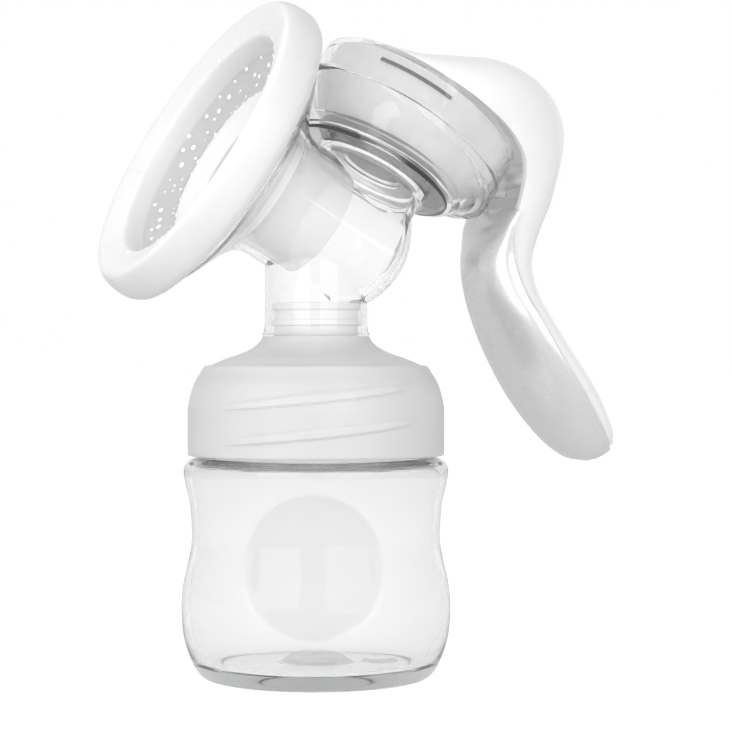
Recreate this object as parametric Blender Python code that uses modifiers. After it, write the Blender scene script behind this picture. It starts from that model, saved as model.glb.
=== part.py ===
"""Manual breast pump: bottle, screw-on pump body with funnel and suction cup, diaphragm and squeeze handle.

Metres, +Z up.  The origin is the centre of the bottle's base.  The pump is symmetric about Y = 0, the
funnel points to -X and the handle hangs on the +X side.  Lengths below are in millimetres.
"""
import math

import bmesh
import bpy
from mathutils import Matrix, Vector

MM = 0.001
GAP = 0.3
MERGE_DISTANCE = 1e-6

# Bottle and screw thread
NECK_RADIUS = 26.8
NECK_BORE = 24.9
LIP_HEIGHT = 72.0
THREAD_PITCH = 4.5
THREAD_SECTION = 1.4
BOTTLE_THREAD_RADIUS = 27.2
SKIRT_BORE = 29.6
SKIRT_RADIUS = 32.0
SKIRT_BOTTOM = 55.5
SKIRT_TOP = 85.2
CEILING = 74.6
BAND_SECTION = 0.95
BAND_SWEEP = math.radians(98)
BAND_RISE = 5.5
BAND_COUNT = 2

# Neck above the skirt, and the funnel's tilted axis
TUBE_NECK_RADIUS = 12.75
TUBE_NECK_BORE = 11.5
FUNNEL_CENTRE = (-25.2, 0.0, 128.6)
FUNNEL_TILT = math.radians(-60)
FUNNEL_TUBE_RADIUS = 16.2
FUNNEL_TUBE_BORE = 14.7
FUNNEL_CAP_RADIUS = 20.9
FUNNEL_CAP_CENTRE = -33.0
WALL = 1.5

# Suction cup's tilted axis, and the handle's hinge
CUP_CENTRE = (28.9, 0.0, 144.3)
CUP_TILT = math.radians(35)
CUP_WALL = 1.8
CUP_PORT = 8.0
SEAT_TILT = math.radians(30)
SEAT_STATION = 35.9
SEAT_HEIGHT = 18.5
RISER_RADIUS = 15.5
RISER_BORE = 12.5
PIVOT_OFFSET = 31.0
PIVOT_DROP = -1.0
PIN_RADIUS = 2.0
PIN_HALF = 12.6
EAR_RADIUS = 4.8
EAR_INNER = 5.6
EAR_OUTER = 8.6
STEM_RADIUS = 2.2
CROSS_PIN_HEIGHT = 4.0
CROSS_PIN_RADIUS = 1.5
CROSS_PIN_HALF = 7.6
SHELL_THICKNESS = 1.8
COVER_GAP = 1.5

TURN_STEPS = 32
SMALL_STEPS = 16


def frame_matrix(centre, tilt):
    """A frame at centre (mm) whose Z axis leans by tilt from +Z towards +X."""
    return Matrix.Translation(Vector(centre) * MM) @ Matrix.Rotation(tilt, 4, "Y")


UPRIGHT = Matrix.Identity(4)
FUNNEL_FRAME = frame_matrix(FUNNEL_CENTRE, FUNNEL_TILT)
CUP_FRAME = frame_matrix(CUP_CENTRE, CUP_TILT)
SEAT_FRAME = FUNNEL_FRAME @ Matrix.Translation(Vector((SEAT_HEIGHT, 0.0, -SEAT_STATION)) * MM)
SEAT_FRAME = SEAT_FRAME @ Matrix.Rotation(SEAT_TILT - FUNNEL_TILT, 4, "Y")
PIVOT = CUP_FRAME @ (Vector((PIVOT_OFFSET, 0.0, PIVOT_DROP)) * MM)

for leftover in list(bpy.data.objects):
    bpy.data.objects.remove(leftover, do_unlink=True)

parts = bpy.data.collections.new("breast_pump")
cutters = bpy.data.collections.new("cutters")
bpy.context.scene.collection.children.link(parts)
bpy.context.scene.collection.children.link(cutters)


def plastic(name, colour, roughness, transmission=0.0):
    """A Principled material with the moulding's colour, gloss and clearness."""
    material = bpy.data.materials.new(name)
    material.use_nodes = True
    shader = material.node_tree.nodes["Principled BSDF"]
    shader.inputs["Base Color"].default_value = (*colour, 1.0)
    shader.inputs["Roughness"].default_value = roughness
    shader.inputs["Metallic"].default_value = 0.0
    shader.inputs["Transmission Weight"].default_value = transmission
    return material


CLEAR = plastic("clear_plastic", (0.93, 0.94, 0.95), 0.08, 0.8)
FROSTED = plastic("frosted_plastic", (0.86, 0.87, 0.88), 0.45, 0.3)
SILICONE = plastic("soft_silicone", (0.92, 0.92, 0.92), 0.5, 0.1)
WHITE = plastic("white_plastic", (0.94, 0.94, 0.94), 0.2)
GREY = plastic("pale_grey_plastic", (0.80, 0.81, 0.82), 0.3)


def arc(centre, radius, start, end, count):
    """Points on an arc round centre, angles in degrees from the first axis."""
    angles = [math.radians(start + (end - start) * step / count) for step in range(count + 1)]
    return [(centre[0] + radius * math.cos(a), centre[1] + radius * math.sin(a)) for a in angles]


def turned(name, profile, steps=TURN_STEPS, closed=True):
    """Turn (radius, height) points round local Z; the outer side is listed from top to bottom."""
    mesh = bpy.data.meshes.new(name)
    points = [(radius * MM, 0.0, height * MM) for radius, height in profile]
    edges = [(i, i + 1) for i in range(len(points) - 1)]
    if closed:
        edges.append((len(points) - 1, 0))
    mesh.from_pydata(points, edges, [])
    obj = bpy.data.objects.new(name, mesh)
    screw = obj.modifiers.new("turn", "SCREW")
    screw.steps = steps
    screw.render_steps = steps
    screw.use_merge_vertices = True
    screw.merge_threshold = MERGE_DISTANCE
    return obj


def curve_to_mesh(curve_object):
    """Swap a curve object for a welded mesh object in the same place."""
    bpy.context.scene.collection.objects.link(curve_object)
    depsgraph = bpy.context.evaluated_depsgraph_get()
    mesh = bpy.data.meshes.new_from_object(curve_object.evaluated_get(depsgraph))
    welded = bmesh.new()
    welded.from_mesh(mesh)
    bmesh.ops.remove_doubles(welded, verts=welded.verts, dist=MERGE_DISTANCE)
    bmesh.ops.recalc_face_normals(welded, faces=welded.faces)
    welded.to_mesh(mesh)
    welded.free()
    obj = bpy.data.objects.new(curve_object.name + "_solid", mesh)
    obj.matrix_world = curve_object.matrix_world
    bpy.data.objects.remove(curve_object, do_unlink=True)
    return obj


def tube(name, points, radius):
    """A round bar through points (mm)."""
    curve = bpy.data.curves.new(name, "CURVE")
    curve.dimensions = "3D"
    curve.bevel_depth = radius * MM
    curve.bevel_resolution = 2
    curve.use_fill_caps = True
    spline = curve.splines.new("POLY")
    spline.points.add(len(points) - 1)
    for point, place in zip(spline.points, points):
        point.co = (*(Vector(place) * MM), 1.0)
    return curve_to_mesh(bpy.data.objects.new(name, curve))


def slab(name, outline, low, high):
    """A flat plate with an outline of (x, z) points, between two distances along -Y."""
    curve = bpy.data.curves.new(name, "CURVE")
    curve.dimensions = "2D"
    curve.fill_mode = "BOTH"
    curve.extrude = (high - low) / 2 * MM
    spline = curve.splines.new("POLY")
    spline.points.add(len(outline) - 1)
    for point, place in zip(spline.points, outline):
        point.co = (place[0] * MM, place[1] * MM, 0.0, 1.0)
    spline.use_cyclic_u = True
    upright = Matrix.Rotation(math.pi / 2, 4, "X")
    obj = bpy.data.objects.new(name, curve)
    solid = curve_to_mesh(obj)
    solid.data.transform(Matrix.Translation((0.0, -(high + low) / 2 * MM, 0.0)) @ upright)
    return solid


def cross_bar(name, place, radius, half_length, steps=SMALL_STEPS):
    """A round bar along Y through an (x, z) place."""
    mesh = bpy.data.meshes.new(name)
    bar = bmesh.new()
    spin = Matrix.Translation((place[0] * MM, 0.0, place[1] * MM)) @ Matrix.Rotation(math.pi / 2, 4, "X")
    bmesh.ops.create_cone(bar, cap_ends=True, segments=steps, radius1=radius * MM, radius2=radius * MM,
                          depth=2 * half_length * MM, matrix=spin)
    bar.to_mesh(mesh)
    bar.free()
    return bpy.data.objects.new(name, mesh)


def add_cutter(obj, frame=UPRIGHT):
    """Keep a helper solid out of the model, in its own collection."""
    cutters.objects.link(obj)
    obj.matrix_world = frame
    obj.hide_render = True
    obj.display_type = "WIRE"
    return obj


def combine(target, operation, helper, frame=UPRIGHT):
    """Add a helper solid to the target, or cut it away."""
    boolean = target.modifiers.new(helper.name, "BOOLEAN")
    boolean.operation = operation
    boolean.object = add_cutter(helper, frame)


def add_part(obj, material, parent=None, frame=UPRIGHT):
    """Put a finished sub-part in the model, under the empty of its moving body."""
    parts.objects.link(obj)
    obj.data.materials.append(material)
    if parent is not None:
        obj.parent = parent
        obj.matrix_basis = parent.matrix_world.inverted() @ frame
    else:
        obj.matrix_world = frame
    obj.data.shade_smooth()
    obj.data.set_sharp_from_angle(angle=math.radians(35))
    return obj


def add_empty(name, frame):
    """An empty on a joint's axis, which carries that joint's pieces."""
    empty = bpy.data.objects.new(name, None)
    parts.objects.link(empty)
    empty.matrix_world = frame
    bpy.context.view_layer.update()
    return empty


def helix(radius, start_height, start_angle, turns):
    """Points of a right-hand thread."""
    count = round(20 * turns)
    points = []
    for step in range(count + 1):
        angle = start_angle + 2 * math.pi * turns * step / count
        height = start_height + THREAD_PITCH * turns * step / count
        points.append((radius * math.cos(angle), radius * math.sin(angle), height))
    return points


def height_to_radius(profile, height):
    """The radius of an outer profile, listed top to bottom, at a height."""
    for (r_high, z_high), (r_low, z_low) in zip(profile, profile[1:]):
        if z_high >= height >= z_low and z_high > z_low:
            share = (height - z_low) / (z_high - z_low)
            return r_low + share * (r_high - r_low)
    return profile[-1][0]


def make_bottle():
    """Clear waisted bottle with a thick base, a bump in its floor and a threaded neck."""
    inside = [(0.0, 7.8), (4.5, 7.2), (8.0, 4.4), (9.5, 3.6), (24.5, 3.6), (28.0, 5.4), (30.2, 9.0),
              (31.4, 13.0), (31.7, 18.5), (31.2, 24.0), (30.2, 28.4), (29.3, 33.5), (29.2, 38.0),
              (29.7, 43.8), (30.8, 48.6), (31.1, 51.2), (30.0, 52.7), (26.4, 53.4), (NECK_BORE, 54.8)]
    lip = [(NECK_BORE, LIP_HEIGHT - 0.4), (NECK_BORE + 0.4, LIP_HEIGHT), (NECK_RADIUS - 0.5, LIP_HEIGHT),
           (NECK_RADIUS, LIP_HEIGHT - 0.5)]
    outside = [(NECK_RADIUS, 56.4), (27.6, 55.2), (30.4, 54.9), (32.1, 54.1), (33.0, 52.0), (32.6, 48.6),
               (31.5, 43.8), (31.0, 38.0), (31.1, 33.0), (32.0, 28.4), (33.0, 24.0), (33.5, 18.5),
               (33.2, 12.2), (32.5, 8.7), (31.2, 5.0), (29.8, 2.4), (28.2, 0.7), (26.2, 0.0), (0.0, 0.0)]
    bottle = turned("bottle", inside + lip + outside, closed=False)
    thread = tube("bottle_thread", helix(BOTTLE_THREAD_RADIUS, 59.5, 0.0, 1.75), THREAD_SECTION)
    combine(bottle, "UNION", thread)
    add_part(bottle, CLEAR)


def make_lip_seal(parent):
    """Flat soft ring between the bottle's lip and the skirt's ceiling."""
    low = LIP_HEIGHT + GAP
    high = CEILING - GAP
    profile = [(28.0, high), (28.4, high - 0.4), (28.4, low + 0.4), (28.0, low), (25.0, low), (25.0, high)]
    add_part(turned("lip_seal", profile), SILICONE, parent)


SKIRT_OUTSIDE = [(13.3, SKIRT_TOP), (13.9, 84.0), (15.5, 82.5), (18.3, 81.0), (23.5, 79.5), (26.4, 78.2),
                 (28.3, 76.7), (29.6, 75.0), (30.5, 73.4), (31.4, 70.6), (SKIRT_RADIUS, 67.5),
                 (SKIRT_RADIUS, 56.0), (SKIRT_RADIUS - 0.5, SKIRT_BOTTOM)]


def make_thread_skirt(parent):
    """Frosted dome that screws on the bottle, with raised swirl bands for grip."""
    inside = [(SKIRT_BORE + 0.4, SKIRT_BOTTOM), (SKIRT_BORE, 56.0), (SKIRT_BORE, 71.4), (28.8, 73.0),
              (28.8, CEILING), (22.5, CEILING), (20.8, 77.8), (17.4, 79.2), (14.2, 80.9), (12.2, 82.8),
              (TUBE_NECK_BORE, SKIRT_TOP)]
    skirt = turned("thread_skirt", SKIRT_OUTSIDE + inside)
    half_pitch = THREAD_PITCH / 2
    thread = tube("skirt_thread", helix(SKIRT_BORE, 59.5 + half_pitch, 0.0, 1.5), THREAD_SECTION)
    combine(skirt, "UNION", thread)
    for row, start_height in enumerate((59.0, 67.5)):
        for number in range(BAND_COUNT):
            start = math.radians(-161) + 2 * math.pi * number / BAND_COUNT
            points = []
            for step in range(9):
                angle = start + BAND_SWEEP * step / 8
                height = start_height + BAND_RISE * step / 8
                radius = height_to_radius(SKIRT_OUTSIDE, height) - 0.15
                points.append((radius * math.cos(angle), radius * math.sin(angle), height))
            combine(skirt, "UNION", tube(f"swirl_{row}_{number}", points, BAND_SECTION))
    add_part(skirt, FROSTED, parent)


def funnel_outline(tube_radius, cap_radius, bell):
    """Axis-to-rim profile: a domed end, a straight tube and a bell-shaped mouth."""
    reach = math.degrees(math.asin(tube_radius / cap_radius))
    dome = arc((0.0, FUNNEL_CAP_CENTRE), cap_radius, -90.0, -90.0 + reach, 5)
    return dome[::-1], bell


def make_funnel_body(parent):
    """Clear funnel with its closed tube, the neck down to the skirt and the riser up to the cup."""
    outer_dome, outer_bell = funnel_outline(FUNNEL_TUBE_RADIUS, FUNNEL_CAP_RADIUS, [
        (37.6, 2.2), (37.5, 0.4), (34.2, -3.2), (28.6, -6.4), (22.4, -10.0), (18.4, -13.2), (16.6, -16.0)])
    inner_dome, inner_bell = funnel_outline(FUNNEL_TUBE_BORE, FUNNEL_CAP_RADIUS - WALL, [
        (36.4, 3.2), (35.9, 1.2), (32.8, -2.2), (27.4, -5.2), (21.2, -8.9), (17.2, -12.0), (15.1, -15.2)])
    body = turned("funnel_body", [(0.0, 2.2)] + outer_bell + outer_dome, closed=False)
    neck_low = SKIRT_TOP + GAP
    neck = turned("neck_solid", [(0.0, 112.0), (TUBE_NECK_RADIUS, 112.0), (TUBE_NECK_RADIUS, 87.0),
                                 (13.25, neck_low), (0.0, neck_low)], closed=False)
    combine(body, "UNION", neck)
    riser = turned("riser_solid", [(0.0, -GAP), (RISER_RADIUS, -GAP), (RISER_RADIUS, -13.5),
                                   (0.0, -13.5)], closed=False)
    combine(body, "UNION", riser, SEAT_FRAME)
    hollow = turned("funnel_hollow", [(0.0, 3.2)] + inner_bell + inner_dome, closed=False)
    combine(body, "DIFFERENCE", hollow, FUNNEL_FRAME)
    neck_hollow = turned("neck_hollow", [(0.0, 110.0), (TUBE_NECK_BORE, 110.0), (TUBE_NECK_BORE, 80.0),
                                         (0.0, 80.0)], closed=False)
    combine(body, "DIFFERENCE", neck_hollow)
    riser_hollow = turned("riser_hollow", [(0.0, 4.0), (RISER_BORE, 4.0), (RISER_BORE, -12.0),
                                           (0.0, -12.0)], closed=False)
    combine(body, "DIFFERENCE", riser_hollow, SEAT_FRAME)
    add_part(body, CLEAR, parent, FUNNEL_FRAME)


def make_cushion(parent):
    """Soft funnel lining with a rolled rim that wraps round the funnel's edge."""
    profile = [(38.0, 9.9), (39.4, 9.3), (40.5, 7.6), (41.1, 4.8), (41.0, 1.6), (40.0, -0.3), (38.6, -0.6),
               (38.3, 0.4), (38.3, 3.2), (37.2, 3.7), (36.0, 3.5), (35.3, 1.6), (32.2, -1.7), (26.9, -4.6),
               (20.7, -8.2), (16.7, -11.4), (14.4, -15.2), (14.3, -30.0), (12.8, -30.0), (12.8, -4.8),
               (13.6, -3.5), (16.4, -2.3), (19.4, -1.0), (20.8, -0.9), (24.0, 0.0), (28.2, 1.6), (29.9, 3.2),
               (30.5, 6.2), (31.3, 7.6)]
    add_part(turned("funnel_cushion", profile), SILICONE, parent, FUNNEL_FRAME)


def make_valve(parent):
    """Soft one-way valve: a ribbed cup in the neck that narrows to a flat bill."""
    stations = [(93.4, 10.2, 10.2), (93.2, 11.1, 11.1), (91.8, 11.1, 11.1), (91.5, 10.4, 10.4),
                (89.2, 10.4, 10.4), (88.9, 11.1, 11.1), (87.9, 11.1, 11.1), (87.6, 10.4, 10.4),
                (82.0, 10.2, 10.2), (79.0, 8.6, 8.6), (76.0, 8.4, 7.4), (71.0, 8.2, 4.2), (66.5, 8.0, 1.5)]
    rings = []
    for height, half_x, half_y in stations:
        ring = [(half_x * math.cos(2 * math.pi * k / SMALL_STEPS),
                 half_y * math.sin(2 * math.pi * k / SMALL_STEPS), height) for k in range(SMALL_STEPS)]
        rings.append(ring + ring[:1])
    valve = skin("duckbill_valve", rings)
    thicken(valve, 1.0)
    add_part(valve, SILICONE, parent)


def skin(name, rows):
    """An open surface through rows of points (mm), welded where rows close on themselves."""
    mesh = bpy.data.meshes.new(name)
    surface = bmesh.new()
    lines = [[surface.verts.new(Vector(point) * MM) for point in row] for row in rows]
    for upper, lower in zip(lines, lines[1:]):
        for i in range(len(upper) - 1):
            surface.faces.new((upper[i], lower[i], lower[i + 1], upper[i + 1]))
    bmesh.ops.remove_doubles(surface, verts=surface.verts, dist=MERGE_DISTANCE)
    surface.to_mesh(mesh)
    surface.free()
    return bpy.data.objects.new(name, mesh)


def thicken(obj, thickness):
    """Give an open surface a wall on its inner side."""
    solidify = obj.modifiers.new("wall", "SOLIDIFY")
    solidify.thickness = thickness * MM
    solidify.offset = -1.0


def leaning_ring(across, height, radius, lean):
    """A ring of points in the cup's frame whose -X side dips by the lean."""
    ring = []
    for step in range(TURN_STEPS):
        angle = 2 * math.pi * step / TURN_STEPS
        reach = radius * math.cos(angle)
        ring.append((across + reach * math.cos(lean), radius * math.sin(angle),
                     height + reach * math.sin(lean)))
    return ring + ring[:1]


def make_suction_cup(parent):
    """Clear cup with a rim band, and two ears that carry the handle's pin."""
    seat = CUP_FRAME.inverted() @ SEAT_FRAME
    seat_centre = seat.translation / MM
    seat_lean = CUP_TILT - SEAT_TILT
    stations = [(0.0, 27.6, 0.0), (-0.6, 27.9, 0.0), (-8.6, 27.9, 0.0), (-9.3, 28.6, 0.0),
                (-12.6, 28.5, -0.9), (-13.4, 27.2, -0.7), (-16.0, 25.6, 0.3), (-19.4, 23.9, 0.8)]
    rings = []
    for height, radius, share in stations:
        rings.append(leaning_ring(seat_centre.x * max(share, 0.0), height, radius, seat_lean * share))
    for drop, radius in [(0.9, 22.6), (0.0, 21.0), (0.0, 14.0), (0.0, CUP_PORT)]:
        rings.append(leaning_ring(seat_centre.x, seat_centre.z + drop, radius, seat_lean))
    cup = skin("suction_cup", rings)
    thicken(cup, CUP_WALL)
    ear = [(25.8, -9.8), (31.0, -7.6)] + arc((PIVOT_OFFSET, PIVOT_DROP), EAR_RADIUS, -60.0, 110.0, 8)
    ear += [(25.8, -0.8)]
    combine(cup, "UNION", slab("ear_near", ear, EAR_INNER, EAR_OUTER), CUP_FRAME)
    combine(cup, "UNION", slab("ear_far", ear, -EAR_OUTER, -EAR_INNER), CUP_FRAME)
    bore = cross_bar("pin_bore", (PIVOT_OFFSET, PIVOT_DROP), PIN_RADIUS + GAP, EAR_OUTER + 1.0)
    combine(cup, "DIFFERENCE", bore, CUP_FRAME)
    add_part(cup, CLEAR, parent, CUP_FRAME)


def make_diaphragm(parent):
    """Soft bell in the cup, folded down along the wall and up to the stem."""
    profile = [(25.3, -0.8), (25.3, -8.6), (24.4, -10.8), (22.4, -13.6), (20.4, -15.9), (18.8, -17.4),
               (17.0, -18.1), (14.6, -18.0), (9.6, -16.4), (5.4, -15.6), (2.6, -15.6), (2.6, -13.6),
               (5.8, -13.8), (10.2, -14.8), (14.8, -16.4), (16.8, -16.2), (18.6, -14.8), (20.8, -12.4),
               (22.8, -9.8), (23.8, -8.0), (23.8, -0.8)]
    add_part(turned("diaphragm", profile), SILICONE, parent, CUP_FRAME)


def make_stem(parent):
    """White stem with a foot under the diaphragm and a cross pin in the handle's hook."""
    profile = [(0.0, 6.2), (STEM_RADIUS, 6.2), (STEM_RADIUS, -15.6), (4.4, -16.4), (4.9, -18.6),
               (0.0, -18.6)]
    stem = turned("stem", profile, steps=SMALL_STEPS, closed=False)
    pin = cross_bar("stem_cross_pin", (0.0, CROSS_PIN_HEIGHT), CROSS_PIN_RADIUS, CROSS_PIN_HALF)
    combine(stem, "UNION", pin, CUP_FRAME)
    add_part(stem, WHITE, parent, CUP_FRAME)


def from_cup(across, along):
    """World (x, z) in mm of a point given in the cup's frame."""
    point = CUP_FRAME @ (Vector((across, 0.0, along)) * MM)
    return (point.x / MM, point.z / MM)


# Handle stations: edge of the shell (x, z), crown of the shell (x, z), half width
HOOD_STATIONS = [
    (from_cup(-21.6, 2.4), from_cup(-22.2, 4.8), 7.0),
    (from_cup(-17.5, 2.4), from_cup(-16.8, 6.4), 12.5),
    (from_cup(-10.0, 2.6), from_cup(-9.6, 9.8), 17.4),
    (from_cup(-1.0, 3.0), from_cup(-0.6, 15.2), 20.6),
    (from_cup(8.0, 3.0), from_cup(8.4, 21.3), 21.6),
    (from_cup(17.0, 2.6), from_cup(18.6, 24.4), 20.6),
    (from_cup(24.0, 1.0), from_cup(29.0, 23.2), 18.6),
    (from_cup(28.0, -1.6), from_cup(36.6, 17.4), 16.6)]
LEVER_STATIONS = [
    ((50.9, 121.0), (65.4, 121.0), 14.4),
    ((49.8, 113.0), (62.2, 113.0), 12.2),
    ((50.4, 105.0), (59.8, 105.0), 11.0),
    ((52.6, 97.0), (60.8, 97.0), 12.2),
    ((56.2, 89.4), (64.5, 89.4), 14.8),
    ((61.0, 81.2), (70.1, 81.2), 16.0),
    ((67.6, 72.6), (76.4, 73.0), 15.4),
    ((74.0, 64.6), (81.4, 65.2), 12.6),
    ((78.4, 59.4), (83.8, 60.2), 9.4),
    ((80.6, 57.0), (84.4, 57.0), 6.4)]
# Crown of the inner cover (x, z) at each lever station from the second on
COVER_CROWNS = [(46.2, 112.6), (44.4, 105.0), (45.8, 97.0), (49.2, 89.4), (53.2, 81.0), (58.6, 70.6),
                (66.0, 60.8), (72.6, 55.4), (77.6, 54.4)]


def handle_row(edge, crown, half_width, count=10):
    """One rounded section of the handle from its +Y edge over the crown to its -Y edge, from the pivot."""
    origin = PIVOT / MM
    row = []
    for step in range(count + 1):
        angle = math.pi * step / count
        across = math.cos(angle)
        rise = math.sin(angle) if 0 < step < count else 0.0
        x = edge[0] + (crown[0] - edge[0]) * rise
        z = edge[1] + (crown[1] - edge[1]) * rise
        row.append((x - origin.x, half_width * across, z - origin.z))
    return row


def make_handle(parent):
    """White outer shell with its hood and stem hooks, the inner cover and the hinge pin."""
    at_pivot = Matrix.Translation(PIVOT)
    shell = skin("handle_shell", [handle_row(*station)[::-1] for station in HOOD_STATIONS + LEVER_STATIONS])
    thicken(shell, SHELL_THICKNESS)
    hook = [(-5.6, 0.6), (3.2, 0.6), (3.2, 17.5), (-1.2, 14.7), (-5.6, 12.2)]
    combine(shell, "UNION", slab("hook_near", hook, 3.6, 5.4), CUP_FRAME)
    combine(shell, "UNION", slab("hook_far", hook, -5.4, -3.6), CUP_FRAME)
    slot_half = CROSS_PIN_RADIUS + 0.45
    slot = arc((0.4, CROSS_PIN_HEIGHT + 0.1), slot_half, -75.0, 105.0, 6)
    slot += arc((-3.0, CROSS_PIN_HEIGHT - 0.8), slot_half, 105.0, 285.0, 6)
    combine(shell, "DIFFERENCE", slab("hook_slot", slot, -9.0, 9.0), CUP_FRAME)
    add_part(shell, WHITE, parent, at_pivot)

    cover_rows = []
    for (edge, crown, half_width), inner in zip(LEVER_STATIONS[1:], COVER_CROWNS):
        away = (Vector(inner) - Vector(edge)).normalized() * COVER_GAP
        cover_rows.append(handle_row((edge[0] + away.x, edge[1] + away.y), inner, half_width))
    cover = skin("handle_cover", cover_rows)
    thicken(cover, 1.6)
    add_part(cover, GREY, parent, at_pivot)

    pin = cross_bar("pivot_pin", (0.0, 0.0), PIN_RADIUS, PIN_HALF)
    add_part(pin, WHITE, parent, at_pivot)


pump_axis = add_empty("pump_axis", UPRIGHT)
handle_axis = add_empty("handle_axis", Matrix.Translation(PIVOT))
stem_axis = add_empty("stem_axis", CUP_FRAME)
make_bottle()
make_lip_seal(pump_axis)
make_thread_skirt(pump_axis)
make_funnel_body(pump_axis)
make_cushion(pump_axis)
make_valve(pump_axis)
make_suction_cup(pump_axis)
make_diaphragm(pump_axis)
make_stem(stem_axis)
make_handle(handle_axis)
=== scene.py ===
"""Looks of the manual breast pump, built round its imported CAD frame.

Lengths in the functions below are in millimetres and MM turns them into metres.
"""
import math
import random

import bmesh
import bpy
from mathutils import Matrix, Vector


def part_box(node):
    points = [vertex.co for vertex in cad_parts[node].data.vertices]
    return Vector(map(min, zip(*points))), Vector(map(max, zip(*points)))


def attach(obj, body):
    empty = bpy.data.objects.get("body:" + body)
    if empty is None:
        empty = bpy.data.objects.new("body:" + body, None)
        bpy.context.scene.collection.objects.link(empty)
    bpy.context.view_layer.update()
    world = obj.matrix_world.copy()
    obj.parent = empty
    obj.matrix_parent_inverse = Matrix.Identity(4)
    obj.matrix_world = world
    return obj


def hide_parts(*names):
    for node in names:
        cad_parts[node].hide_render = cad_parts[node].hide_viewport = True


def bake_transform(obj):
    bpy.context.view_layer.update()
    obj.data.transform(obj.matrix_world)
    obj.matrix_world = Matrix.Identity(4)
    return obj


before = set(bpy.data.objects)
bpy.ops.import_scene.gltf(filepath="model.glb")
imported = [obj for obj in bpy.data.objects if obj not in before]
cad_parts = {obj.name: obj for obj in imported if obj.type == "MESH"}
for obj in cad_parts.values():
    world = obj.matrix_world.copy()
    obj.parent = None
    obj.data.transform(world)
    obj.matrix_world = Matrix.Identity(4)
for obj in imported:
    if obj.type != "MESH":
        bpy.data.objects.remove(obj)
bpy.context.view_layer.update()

MM = 0.001
WELD = 1e-6

# The frame's driving sizes, as in the CAD: the bottle, its thread and the skirt
LIP_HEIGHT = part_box("bottle")[1].z / MM
SKIRT_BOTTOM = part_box("thread_skirt")[0].z / MM
SKIRT_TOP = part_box("thread_skirt")[1].z / MM
NECK_RADIUS = 26.8
THREAD_PITCH = 4.5
THREAD_DEPTH = 1.4
THREAD_WIDTH = 1.35
THREAD_START = 59.5
BOTTLE_TURNS = 1.75
SKIRT_TURNS = 1.5
SKIRT_RADIUS = 32.0
SKIRT_BORE = 29.6
CEILING = 74.6
BAND_COUNT = 2
BAND_SWEEP = math.radians(98)
BAND_RISE = 5.5
BAND_START = math.radians(-161)
BAND_FEET = (59.0, 67.5)
BAND_HEIGHT = 0.62
# The neck, the funnel and the cup
TUBE_NECK_RADIUS = 12.75
TUBE_NECK_BORE = 11.5
FUNNEL_CENTRE = (-25.2, 0.0, 128.6)
FUNNEL_TILT = math.radians(-60)
LINING_EDGE = 40.0
THIN_STATION = -12.0
CUP_CENTRE = (28.9, 0.0, 144.3)
CUP_TILT = math.radians(35)
CUP_WALL = 1.8
CUP_PORT = 8.0
FLOOR_RADIUS = 20.5
FOLD_RADIUS = 18.9
SHADOW_STRIP_RADIUS = 25.85
SHADOW_STRIP_ARC = range(-141, -95)
SEAT_TILT = math.radians(30)
SEAT_STATION = 35.9
SEAT_HEIGHT = 18.5
# The handle and its hinge
PIVOT_OFFSET = 31.0
PIVOT_DROP = -1.0
EAR_RADIUS = 4.8
EAR_INNER = 5.6
EAR_OUTER = 8.6
HOOK_INNER = 3.6
HOOK_OUTER = 5.4
HOOK_SLOT = 1.95
SHELL_WALL = 1.8
COVER_WALL = 1.6
COVER_INSET = 0.35
# The camera looks along VIEW_AXIS, and the thumb rest and the cup's painted shadow strip face it
VIEW_AXIS = Vector((0.4213, 0.9069, 0.0005)).normalized()
RIGHT_AXIS = Vector((VIEW_AXIS.y, -VIEW_AXIS.x, 0.0)).normalized()
FACING = math.atan2(-VIEW_AXIS.y, -VIEW_AXIS.x)
THUMB_HEIGHT = 30.0
THUMB_RADIUS = 17.2
THUMB_WALL = 31.0
THUMB_DEPTH = 0.35
BOSS_PLACE = 16.0
BOSS_RISE = 0.9


def frame_matrix(centre, tilt):
    """A frame at centre (mm) whose Z axis leans by tilt from +Z towards +X."""
    return Matrix.Translation(Vector(centre) * MM) @ Matrix.Rotation(tilt, 4, "Y")


UPRIGHT = Matrix.Identity(4)
FUNNEL_FRAME = frame_matrix(FUNNEL_CENTRE, FUNNEL_TILT)
CUP_FRAME = frame_matrix(CUP_CENTRE, CUP_TILT)
SEAT_FRAME = FUNNEL_FRAME @ Matrix.Translation(Vector((SEAT_HEIGHT, 0.0, -SEAT_STATION)) * MM)
SEAT_FRAME = SEAT_FRAME @ Matrix.Rotation(SEAT_TILT - FUNNEL_TILT, 4, "Y")
PIVOT = CUP_FRAME @ (Vector((PIVOT_OFFSET, 0.0, PIVOT_DROP)) * MM)


# ---------------------------------------------------------------- shader nodes

def ramp(tree, source, stops):
    """A smooth ramp over a source, with stops of (place, brightness or colour)."""
    node = tree.nodes.new("ShaderNodeValToRGB")
    node.color_ramp.interpolation = "EASE"
    elements = node.color_ramp.elements
    while len(elements) < len(stops):
        elements.new(0.5)
    for element, (place, value) in zip(elements, stops):
        element.position = place
        element.color = (*value, 1.0) if isinstance(value, tuple) else (value, value, value, 1.0)
    tree.links.new(source, node.inputs["Fac"])
    return node.outputs["Color"]


def remap(tree, source, start, stop, low, high, interpolation="LINEAR"):
    """Turn a source's range start to stop into low to high."""
    node = tree.nodes.new("ShaderNodeMapRange")
    node.interpolation_type = interpolation
    node.inputs["From Min"].default_value = start
    node.inputs["From Max"].default_value = stop
    node.inputs["To Min"].default_value = low
    node.inputs["To Max"].default_value = high
    tree.links.new(source, node.inputs["Value"])
    return node.outputs["Result"]


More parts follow.
